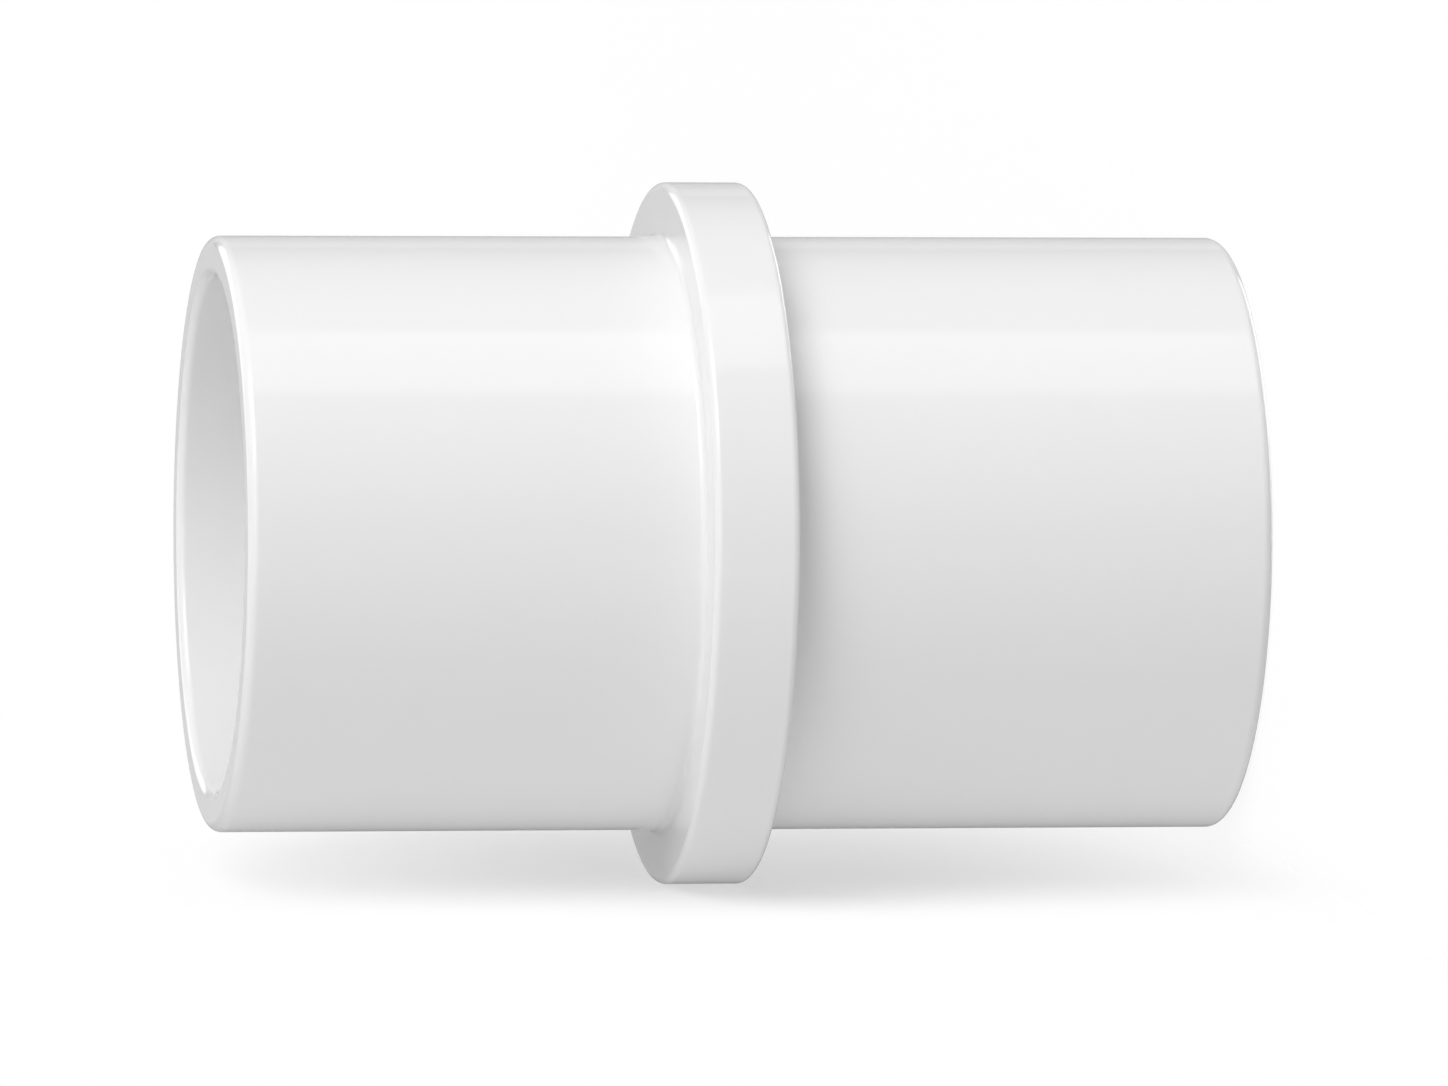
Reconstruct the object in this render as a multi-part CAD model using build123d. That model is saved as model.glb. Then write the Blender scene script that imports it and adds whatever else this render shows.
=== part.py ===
from build123d import *
import os

# An insert coupling: one moulding that joins two lengths of pipe from the inside.
# It has two plain round spigots, a stop collar between them and one straight bore.
# The part stands on the end of its lower spigot, with its axis on Z. Sizes are in millimetres.

# The pipe that it joins, 1-1/2 inch schedule 40. The collar is as wide as the pipe outside.
pipe_bore_diameter = 40.9
pipe_wall = 3.68

# The coupling itself.
spigot_clearance = 0.05
spigot_wall = 2.7
lower_spigot_length = 33.2
upper_spigot_length = 31.0
collar_width = 5.8

# Edge roundings, given as radii.
tip_rounding = 0.7
mouth_rounding = 0.6
collar_rounding = 0.5
root_fillet = 0.45

# Radii and heights that follow from these sizes.
spigot_radius = pipe_bore_diameter / 2 - spigot_clearance
bore_radius = spigot_radius - spigot_wall
collar_radius = pipe_bore_diameter / 2 + pipe_wall
collar_bottom = lower_spigot_length
collar_top = collar_bottom + collar_width
height = collar_top + upper_spigot_length


def half_section():
    """The wall of the coupling on one side of the axis, with X as radius and Z as height."""
    # Each line holds one kind of corner: its radius, its lower and upper height, its rounding.
    corners = (
        (bore_radius, 0, height, mouth_rounding),
        (spigot_radius, 0, height, tip_rounding),
        (spigot_radius, collar_bottom, collar_top, root_fillet),
        (collar_radius, collar_bottom, collar_top, collar_rounding),
    )
    lower_side = [(radius, low) for radius, low, high, rounding in corners]
    upper_side = [(radius, high) for radius, low, high, rounding in reversed(corners)]
    section = make_face(Polyline(*lower_side, *upper_side, close=True))
    for radius, low, high, rounding in corners:
        vertices = section.vertices()
        picked = [vertices.sort_by_distance((radius, level, 0))[0] for level in (low, high)]
        section = fillet(picked, rounding)
    return Plane.XZ * section


coupling = revolve(half_section(), Axis.Z)

os.makedirs("parts", exist_ok=True)
export_step(coupling, "parts/insert_coupling.step")
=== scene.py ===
import math

import bmesh
import bpy
from mathutils import Matrix, Vector


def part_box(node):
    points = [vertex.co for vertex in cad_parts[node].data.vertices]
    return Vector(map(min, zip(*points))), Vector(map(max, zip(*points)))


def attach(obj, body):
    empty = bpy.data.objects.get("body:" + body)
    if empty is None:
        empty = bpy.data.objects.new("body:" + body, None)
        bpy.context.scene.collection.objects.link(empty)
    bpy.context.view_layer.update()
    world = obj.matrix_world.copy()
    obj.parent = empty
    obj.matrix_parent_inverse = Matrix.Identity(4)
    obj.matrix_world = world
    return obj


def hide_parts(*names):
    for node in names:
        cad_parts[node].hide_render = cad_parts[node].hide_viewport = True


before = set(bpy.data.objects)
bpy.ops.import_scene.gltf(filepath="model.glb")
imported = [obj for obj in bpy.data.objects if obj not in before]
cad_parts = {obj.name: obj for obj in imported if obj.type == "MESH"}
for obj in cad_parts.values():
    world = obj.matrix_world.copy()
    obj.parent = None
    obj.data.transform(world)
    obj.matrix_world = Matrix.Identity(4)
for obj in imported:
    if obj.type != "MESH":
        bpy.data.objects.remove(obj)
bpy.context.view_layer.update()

# Sizes of the coupling in metres, the same as its solid has.
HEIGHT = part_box("insert_coupling")[1].z
COLLAR_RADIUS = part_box("insert_coupling")[1].x
COLLAR_BOTTOM, COLLAR_TOP = 0.0332, 0.0390
COLLAR_MIDDLE = Vector((0, 0, (COLLAR_BOTTOM + COLLAR_TOP) / 2))
SPIGOT_RADIUS = 0.0204
WALL = 0.0027
TIP_ROUNDING, MOUTH_ROUNDING = 0.0007, 0.0006
COLLAR_ROUNDING, ROOT_FILLET = 0.0005, 0.00045

# The mesh: its steps round the pipe and over each rounding, the narrow border that lets a plain face shade
# flat up to its edges, and how near two places are when they count as one.
STEPS_ROUND, STEPS_PER_ROUNDING = 288, 10
BORDER = 0.00008
SAME_PLACE = 0.00001

# The Z of a face's normal is below the first on a wall, and above the second on an end or a collar side.
WALL_LEAN, END_LEAN = 0.1, 0.9
# The same on plain faces alone, which leaves out the roundings.
PLAIN_WALL_LEAN, PLAIN_END_LEAN = 0.02, 0.9995

# The camera of the photograph: its lift over the coupling's cross plane, and its swing and roll about it.
LIFT, SWING, ROLL = math.radians(9.68), math.radians(5.5), math.radians(0.1)
LENS, SENSOR_WIDTH = 320, 36
DISTANCE = 0.8858
SIDESTEP, DROP = 0.00174, 0.00068

# The stage: how wide its grounds are, how high the middle of the shadow is, how far from the side ground
# the floor is in full view, and how clear the grounds are to the coupling's own rays.
GROUND_WIDTH = 8.0
SHADOW_HEIGHT = COLLAR_MIDDLE.z - 0.0035
FLOOR_FADE_IN = 0.007
CLEARNESS = 0.5
WHITE = (1, 1, 1, 1)

# The room's brightness ahead and behind on each axis.
ROOM = {"X": (0.607, 1.387), "Y": (0.103, 0.213), "Z": (0.706, 0.520)}
# How far the key lamp is raised from the camera's side towards the top of its view.
KEY_RISE = math.radians(69.5)
# The soft boxes, placed from the camera. Each has a name, its way from the collar (towards the camera, up
# and left in its view), its distance, its side and its radiance.
SOFT_BOXES = (
    ("corner_light", (1.0, 1.0, 0.6), 1.5, 0.9, 2.098),
    ("front_light", (1.0, 0.0, 0.36), 1.5, 0.7, 1.319),
    ("front_high_light", (1.0, 0.6, 0.36), 1.5, 0.7, 1.621),
    ("high_light", (1.0, 1.2, 0.6), 1.5, 0.7, 1.472),
    ("left_light", (1.0, 0.3, 0.7), 1.5, 0.7, 0.636),
    ("back_light", (-1.0, 0.25, 0.0), 2.0, 1.4, 0.316),
    ("back_left_light", (-1.0, 0.35, 0.9), 2.0, 1.2, 1.5),
    ("back_right_light", (-1.0, 0.35, -0.9), 2.0, 1.2, 2.6),
)


def pick(kind, test):
    """In edit mode, select only the edges or faces of the coupling that pass the test."""
    bpy.ops.mesh.select_mode(type="EDGE" if kind == "edges" else "FACE")
    bpy.ops.mesh.select_all(action="DESELECT")
    mesh = bmesh.from_edit_mesh(bpy.context.object.data)
    for part in getattr(mesh, kind):
        if test(part):
            part.select = True
    mesh.select_flush_mode()
    bmesh.update_edit_mesh(bpy.context.object.data)


def radius_of(point):
    return math.hypot(point.x, point.y)


def on_circle(edge, radius, levels):
    """Is the edge part of the circle of that radius at one of these heights?"""
    return any(all(abs(radius_of(vert.co) - radius) < SAME_PLACE and abs(vert.co.z - level) < SAME_PLACE
                   for vert in edge.verts) for level in levels)


def on_end(face):
    return abs(face.normal.z) > END_LEAN


def on_outer_wall(face):
    middle = face.calc_center_median()
    return abs(face.normal.z) < WALL_LEAN and radius_of(middle) > SPIGOT_RADIUS - WALL / 2


def on_collar_band(face):
    return on_outer_wall(face) and COLLAR_BOTTOM < face.calc_center_median().z < COLLAR_TOP


def on_plain_face(face):
    """Is the face part of a wall, an end or a collar side, and not of a rounding?"""
    return not PLAIN_WALL_LEAN < abs(face.normal.z) < PLAIN_END_LEAN


def moulding():
    """The coupling: a pipe with a stop collar, and every edge rounded as its mould leaves it."""
    bpy.ops.object.select_all(action="DESELECT")
    bpy.ops.mesh.primitive_cylinder_add(vertices=STEPS_ROUND, radius=SPIGOT_RADIUS, depth=HEIGHT,
                                        end_fill_type="NGON", location=(0, 0, HEIGHT / 2))
    piece = bpy.context.object
    piece.name = "moulded_coupling"
    bpy.ops.object.transform_apply(location=True, rotation=True, scale=True)
    bpy.ops.object.mode_set(mode="EDIT")

    # The bore: both ends are inset by the wall, and the discs left in them are bridged.
    pick("faces", on_end)
    bpy.ops.mesh.inset(thickness=WALL, use_individual=True)
    bpy.ops.mesh.bridge_edge_loops()

    # The collar: the outer wall is cut at both of its sides, and the band between them pushed out.
    for level in (COLLAR_BOTTOM, COLLAR_TOP):
        pick("faces", on_outer_wall)
        bpy.ops.mesh.bisect(plane_co=(0, 0, level), plane_no=(0, 0, 1))
    pick("faces", on_collar_band)
    bpy.ops.mesh.extrude_region_move()
    widening = COLLAR_RADIUS / SPIGOT_RADIUS
    bpy.ops.transform.resize(value=(widening, widening, 1), center_override=(0, 0, COLLAR_MIDDLE.z))

    # The roundings, and then the border on each plain face.
    for radius, levels, rounding in ((SPIGOT_RADIUS, (0, HEIGHT), TIP_ROUNDING),
                                     (SPIGOT_RADIUS - WALL, (0, HEIGHT), MOUTH_ROUNDING),
                                     (COLLAR_RADIUS, (COLLAR_BOTTOM, COLLAR_TOP), COLLAR_ROUNDING),
                                     (SPIGOT_RADIUS, (COLLAR_BOTTOM, COLLAR_TOP), ROOT_FILLET)):
        pick("edges", lambda edge: on_circle(edge, radius, levels))
        bpy.ops.mesh.bevel(offset=rounding, segments=STEPS_PER_ROUNDING, profile=0.5, affect="EDGES",
                           clamp_overlap=False)
    pick("faces", on_plain_face)
    bpy.ops.mesh.inset(thickness=BORDER)

    bpy.ops.mesh.select_all(action="SELECT")
    bpy.ops.mesh.normals_make_consistent(inside=False)
    bpy.ops.object.mode_set(mode="OBJECT")
    bpy.ops.object.shade_smooth()
    return piece


def node(tree, kind, **inputs):
    """A shader node of that kind, with some of its inputs set."""
    made = tree.nodes.new(kind)
    for name, value in inputs.items():
        made.inputs[name.replace("_", " ")].default_value = value
    return made


def calculated(tree, operation, first, second):
    """The result of one sum on two values, each of which is a number or another node's output."""
    step = node(tree, "ShaderNodeMath")
    step.operation = operation
    for socket, value in zip(step.inputs, (first, second)):
        if isinstance(value, (int, float)):
            socket.default_value = value
        else:
            tree.links.new(value, socket)
    return step.outputs["Value"]


def eased(tree, value, start, end, **results):
    """A smooth change from 0 to 1, or between the results given, as the value goes from start to end."""
    change = node(tree, "ShaderNodeMapRange", From_Min=start, From_Max=end, **results)
    change.interpolation_type = "SMOOTHSTEP"
    tree.links.new(value, change.inputs["Value"])
    return change.outputs["Result"]


def by_ray(tree, for_coupling, for_camera):
    """One value for the rays that light the coupling, and another for the camera's own."""
    rays = node(tree, "ShaderNodeLightPath")
    choice = node(tree, "ShaderNodeMapRange", To_Min=for_coupling, To_Max=for_camera)
    tree.links.new(rays.outputs["Is Camera Ray"], choice.inputs["Value"])
    return choice.outputs["Result"]


def empty_material(name):
    material = bpy.data.materials.new(name)
    material.use_nodes = True
    material.node_tree.nodes.clear()
    return material


def moulded_pvc():
    """Glossy white rigid PVC as it comes out of a polished mould."""
    material = empty_material("white_pvc")
    tree = material.node_tree
    link = tree.links.new
    place = node(tree, "ShaderNodeTexCoord").outputs["Object"]

    tone = node(tree, "ShaderNodeTexNoise", Scale=60.0, Detail=3.0, Roughness=0.5)
    link(place, tone.inputs["Vector"])
    shades = node(tree, "ShaderNodeValToRGB")
    shades.color_ramp.elements[0].color = (0.845, 0.845, 0.847, 1)
    shades.color_ramp.elements[1].color = (0.86, 0.86, 0.862, 1)
    link(tone.outputs["Fac"], shades.inputs["Fac"])

    polish = node(tree, "ShaderNodeTexNoise", Scale=140.0, Detail=2.0)
    link(place, polish.inputs["Vector"])
    gloss = node(tree, "ShaderNodeMapRange", To_Min=0.06, To_Max=0.1)
    link(polish.outputs["Fac"], gloss.inputs["Value"])

    skin = node(tree, "ShaderNodeTexNoise", Scale=260.0, Detail=1.0)
    link(place, skin.inputs["Vector"])
    ripple = node(tree, "ShaderNodeBump", Strength=0.25, Distance=0.00002)
    link(skin.outputs["Fac"], ripple.inputs["Height"])

    plastic = node(tree, "ShaderNodeBsdfPrincipled", IOR=1.5)
    link(shades.outputs["Color"], plastic.inputs["Base Color"])
    link(gloss.outputs["Result"], plastic.inputs["Roughness"])
    link(ripple.outputs["Normal"], plastic.inputs["Normal"])
    out = node(tree, "ShaderNodeOutputMaterial")
    link(plastic.outputs["BSDF"], out.inputs["Surface"])
    return material


def pale_ground(name, shadow_tone, glow, bounce_tone, lean, reach, spread, gap=None):
    """White ground that takes a soft shadow near the coupling and none far off.
    The camera sees it in the shadow tone plus the glow. The coupling sees it in the bounce tone, with half of
    the room showing through. Lean is the way that its light is counted from. Reach is how far from the middle
    of the shadow it starts to fade and has gone, and spread is how much each axis counts in that. A gap is
    a band of X over which the ground comes into view."""
    material = empty_material(name)
    tree = material.node_tree
    link = tree.links.new
    facing = node(tree, "ShaderNodeCombineXYZ", X=lean[0], Y=lean[1], Z=lean[2])
    paint = node(tree, "ShaderNodeBsdfDiffuse")
    link(by_ray(tree, for_coupling=bounce_tone, for_camera=shadow_tone), paint.inputs["Color"])
    link(facing.outputs["Vector"], paint.inputs["Normal"])
    shine = node(tree, "ShaderNodeEmission", Color=WHITE)
    link(by_ray(tree, for_coupling=0.0, for_camera=glow), shine.inputs["Strength"])
    near = node(tree, "ShaderNodeAddShader")
    link(paint.outputs["BSDF"], near.inputs[0])
    link(shine.outputs["Emission"], near.inputs[1])

    # Far from the shadow the camera sees a plain white page in the ground's place.
    page = node(tree, "ShaderNodeEmission", Color=WHITE, Strength=1.0)
    place = node(tree, "ShaderNodeTexCoord").outputs["Object"]
    weighed = node(tree, "ShaderNodeVectorMath")
    weighed.operation = "MULTIPLY"
    link(place, weighed.inputs[0])
    weighed.inputs[1].default_value = spread
    distance = node(tree, "ShaderNodeVectorMath")
    distance.operation = "DISTANCE"
    link(weighed.outputs["Vector"], distance.inputs[0])
    distance.inputs[1].default_value = (0, 0, SHADOW_HEIGHT * spread[2])
    far_off = calculated(tree, "MULTIPLY", eased(tree, distance.outputs["Value"], *reach),
                         by_ray(tree, for_coupling=0.0, for_camera=1.0))
    ground = node(tree, "ShaderNodeMixShader")
    link(far_off, ground.inputs["Fac"])
    link(near.outputs["Shader"], ground.inputs[1])
    link(page.outputs["Emission"], ground.inputs[2])

    # It is clear from behind and half clear to the coupling, and in its gap it comes into view.
    side = node(tree, "ShaderNodeNewGeometry")
    openness = calculated(tree, "MAXIMUM", side.outputs["Backfacing"],
                          by_ray(tree, for_coupling=CLEARNESS, for_camera=0.0))
    if gap:
        parts = node(tree, "ShaderNodeSeparateXYZ")
        link(place, parts.inputs["Vector"])
        fade = eased(tree, parts.outputs["X"], *gap, To_Min=1.0, To_Max=0.0)
        in_front = calculated(tree, "GREATER_THAN", parts.outputs["X"], gap[0])
        openness = calculated(tree, "MAXIMUM", openness, calculated(tree, "MULTIPLY", fade, in_front))
    air = node(tree, "ShaderNodeBsdfTransparent")
    surface = node(tree, "ShaderNodeMixShader")
    link(openness, surface.inputs["Fac"])
    link(ground.outputs["Shader"], surface.inputs[1])
    link(air.outputs["BSDF"], surface.inputs[2])
    out = node(tree, "ShaderNodeOutputMaterial")
    link(surface.outputs["Shader"], out.inputs["Surface"])
    return material


def stage_plane(name, place, turn, material):
    bpy.ops.object.select_all(action="DESELECT")
    bpy.ops.mesh.primitive_plane_add(size=GROUND_WIDTH, location=place, rotation=turn)
    plane = bpy.context.object
    bpy.ops.object.transform_apply(location=True, rotation=True, scale=True)
    plane.name = name
    plane.data.materials.append(material)
    return plane


def camera_axes():
    """Right, up and ahead of the photograph's camera. The coupling lies on its side in it: +Z is image left."""
    level = math.cos(LIFT)
    ahead = Vector((-math.sin(SWING) * level, math.cos(SWING) * level, -math.sin(LIFT)))
    along = Vector((0, 0, 1))
    right = -(along - along.dot(ahead) * ahead).normalized()
    right = Matrix.Rotation(ROLL, 3, ahead) @ right
    return right, right.cross(ahead), ahead


def softbox(name, direction, distance, width, length, radiance, shift=(0, 0, 0)):
    """A rectangular lamp that faces the coupling, with its length as near to Z as it can be."""
    direction = Vector(direction).normalized()
    place = COLLAR_MIDDLE + direction * distance + Vector(shift)
    side = Vector((0, 0, 1)).cross(direction).normalized()
    along = direction.cross(side)
    turn = Matrix((side, along, direction)).transposed()
    bpy.ops.object.light_add(type="AREA", location=place, rotation=turn.to_euler())
    lamp = bpy.context.object
    lamp.name = name
    lamp.data.shape = "RECTANGLE"
    lamp.data.size, lamp.data.size_y = width, length
    lamp.data.energy = radiance * math.pi * width * length
    lamp.visible_camera = False


def studio_room():
    """The world's light, which changes smoothly from each of its six sides to the next, so that it has no
    edge to reflect. The camera sees it white."""
    world = bpy.data.worlds.new("studio_room")
    bpy.context.scene.world = world
    world.use_nodes = True
    tree = world.node_tree
    tree.nodes.clear()
    link = tree.links.new
    heading = node(tree, "ShaderNodeTexCoord")
    parts = node(tree, "ShaderNodeSeparateXYZ")
    link(heading.outputs["Generated"], parts.inputs["Vector"])
    total = 0.0
    for axis, (ahead, behind) in ROOM.items():
        part = parts.outputs[axis]
        level = node(tree, "ShaderNodeMapRange", To_Min=behind, To_Max=ahead)
        link(calculated(tree, "GREATER_THAN", part, 0.0), level.inputs["Value"])
        share = calculated(tree, "MULTIPLY", calculated(tree, "MULTIPLY", part, part), level.outputs["Result"])
        total = calculated(tree, "ADD", share, total)
    room = node(tree, "ShaderNodeBackground", Color=WHITE)
    link(total, room.inputs["Strength"])
    page = node(tree, "ShaderNodeBackground", Color=WHITE, Strength=1.0)
    rays = node(tree, "ShaderNodeLightPath")
    seen = node(tree, "ShaderNodeMixShader")
    link(rays.outputs["Is Camera Ray"], seen.inputs["Fac"])
    link(room.outputs["Background"], seen.inputs[1])
    link(page.outputs["Background"], seen.inputs[2])
    out = node(tree, "ShaderNodeOutputWorld")
    link(seen.outputs["Shader"], out.inputs["Surface"])


def studio_lamps():
    """The key, one long strip high on the camera's side, and the soft boxes round it."""
    right, up, ahead = camera_axes()
    key_way = up * math.sin(KEY_RISE) - ahead * math.cos(KEY_RISE)
    softbox("key", key_way, distance=1.9, width=0.98, length=2.0, radiance=1.0, shift=(0, 0, -0.3))
    for name, (near_part, up_part, left_part), distance, side, radiance in SOFT_BOXES:
        way = up * up_part - ahead * near_part - right * left_part
        softbox(name, way, distance, side, side, radiance)


def photo_camera():
    right, up, ahead = camera_axes()
    place = COLLAR_MIDDLE + right * SIDESTEP - up * DROP - ahead * DISTANCE
    turn = Matrix((right, up, -ahead)).transposed()
    bpy.ops.object.camera_add(location=place, rotation=turn.to_euler())
    camera = bpy.context.object
    camera.name = "photo_camera"
    camera.data.lens = LENS
    camera.data.sensor_width = SENSOR_WIDTH
    camera.data.clip_start = 0.01
    bpy.context.scene.camera = camera


coupling = moulding()
coupling.data.materials.append(moulded_pvc())
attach(coupling, "root")
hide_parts("insert_coupling")

# The floor under the lower end. It sends the coupling no light and casts no shadow of its own.
floor = stage_plane("floor", (0, 0, 0), (0, 0, 0), pale_ground(
    "pale_floor", shadow_tone=0.2, glow=0.81, bounce_tone=0.0, lean=(0, -0.5, 0.87),
    reach=(0.1, 0.4), spread=(1, 1, 1), gap=(-COLLAR_RADIUS, FLOOR_FADE_IN - COLLAR_RADIUS)))
floor.visible_diffuse = floor.visible_glossy = floor.visible_shadow = False

# The ground that the collar touches at its side, on which the coupling lies in the photograph's view.
stage_plane("side_ground", (-COLLAR_RADIUS, 0, 0), (0, math.radians(90), 0), pale_ground(
    "pale_side_ground", shadow_tone=0.6, glow=0.41, bounce_tone=0.67, lean=(0.87, -0.5, 0),
    reach=(0.007, 0.054), spread=(0, 0.35, 1)))

studio_room()
studio_lamps()
photo_camera()

bpy.context.scene.view_settings.view_transform = "Standard"
